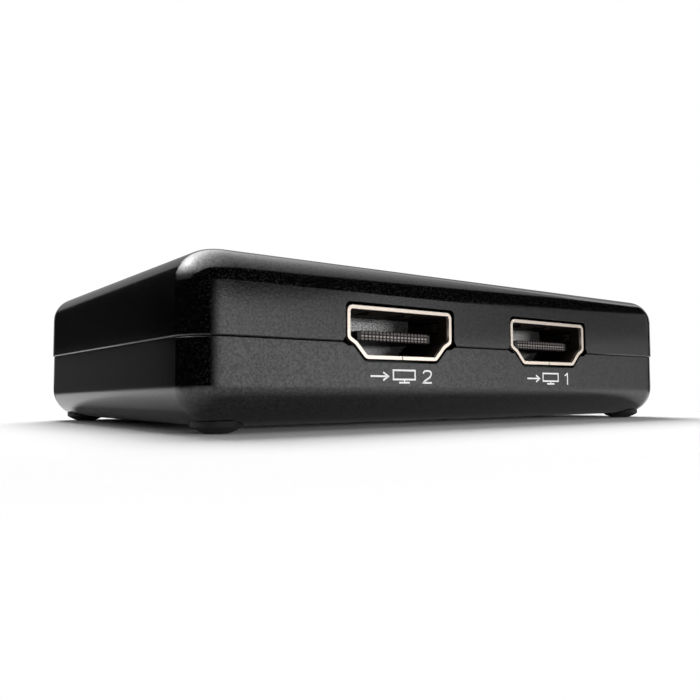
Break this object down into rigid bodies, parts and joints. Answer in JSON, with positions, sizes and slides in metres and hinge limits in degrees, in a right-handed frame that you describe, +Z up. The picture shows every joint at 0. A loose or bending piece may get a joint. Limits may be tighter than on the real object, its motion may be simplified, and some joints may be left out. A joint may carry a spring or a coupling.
{
  "type": "video splitter",
  "caption": "Compact black video splitter: a moulded two-shell case on rubber feet, output sockets in front, input, power socket and lamp behind.",
  "frame": {"origin": "on the table, under the middle of the case", "axes": "+X to the right along the row of outputs, +Y from the outputs to the back, +Z up"},
  "size_m": [0.076, 0.0512, 0.0174],
  "materials": {
    "case_plastic": "black injection-moulded plastic, satin, very fine texture",
    "foot_rubber": "black moulded rubber, matt",
    "screw_steel": "zinc-plated steel",
    "board_laminate": "green solder mask over glass laminate",
    "socket_plate": "pale rose-gold plating on stamped sheet",
    "socket_plastic": "dark glass-filled plastic",
    "contact_plate": "gold-plated copper alloy",
    "power_plastic": "black moulded plastic, semi-matt",
    "power_plate": "nickel-plated brass",
    "pipe_plastic": "clear polished acrylic",
    "emitter_resin": "pale resin over a light-emitting chip",
    "chip_resin": "black moulding resin",
    "crystal_can": "nickel-plated drawn can",
    "ferrite": "dark grey sintered ferrite",
    "capacitor_can": "bare drawn aluminium",
    "capacitor_body": "fired tan ceramic with tinned ends",
    "resistor_body": "black glaze with tinned ends"
  },
  "bodies": {
    "root": {"lower_shell": "case_plastic", "upper_shell": "case_plastic", "case_screws": "screw_steel", "foot_front_left": "foot_rubber", "foot_front_right": "foot_rubber", "foot_rear_left": "foot_rubber", "foot_rear_right": "foot_rubber", "circuit_board": "board_laminate", "power_socket_block": "power_plastic", "power_socket_pin": "power_plate", "power_socket_spring": "power_plate", "light_pipe": "pipe_plastic", "lamp_emitter": "emitter_resin", "splitter_chip": "chip_resin", "memory_chip": "chip_resin", "buck_converter": "chip_resin", "linear_regulator": "chip_resin", "surge_arrays": "chip_resin", "crystal": "crystal_can", "power_inductor": "ferrite", "filter_capacitors": "capacitor_can", "ceramic_capacitors": "capacitor_body", "resistors": "resistor_body", "output_1_shell": "socket_plate", "output_1_insulator": "socket_plastic", "output_1_contacts": "contact_plate", "output_2_shell": "socket_plate", "output_2_insulator": "socket_plastic", "output_2_contacts": "contact_plate", "input_shell": "socket_plate", "input_insulator": "socket_plastic", "input_contacts": "contact_plate"}
  },
  "joints": []
}
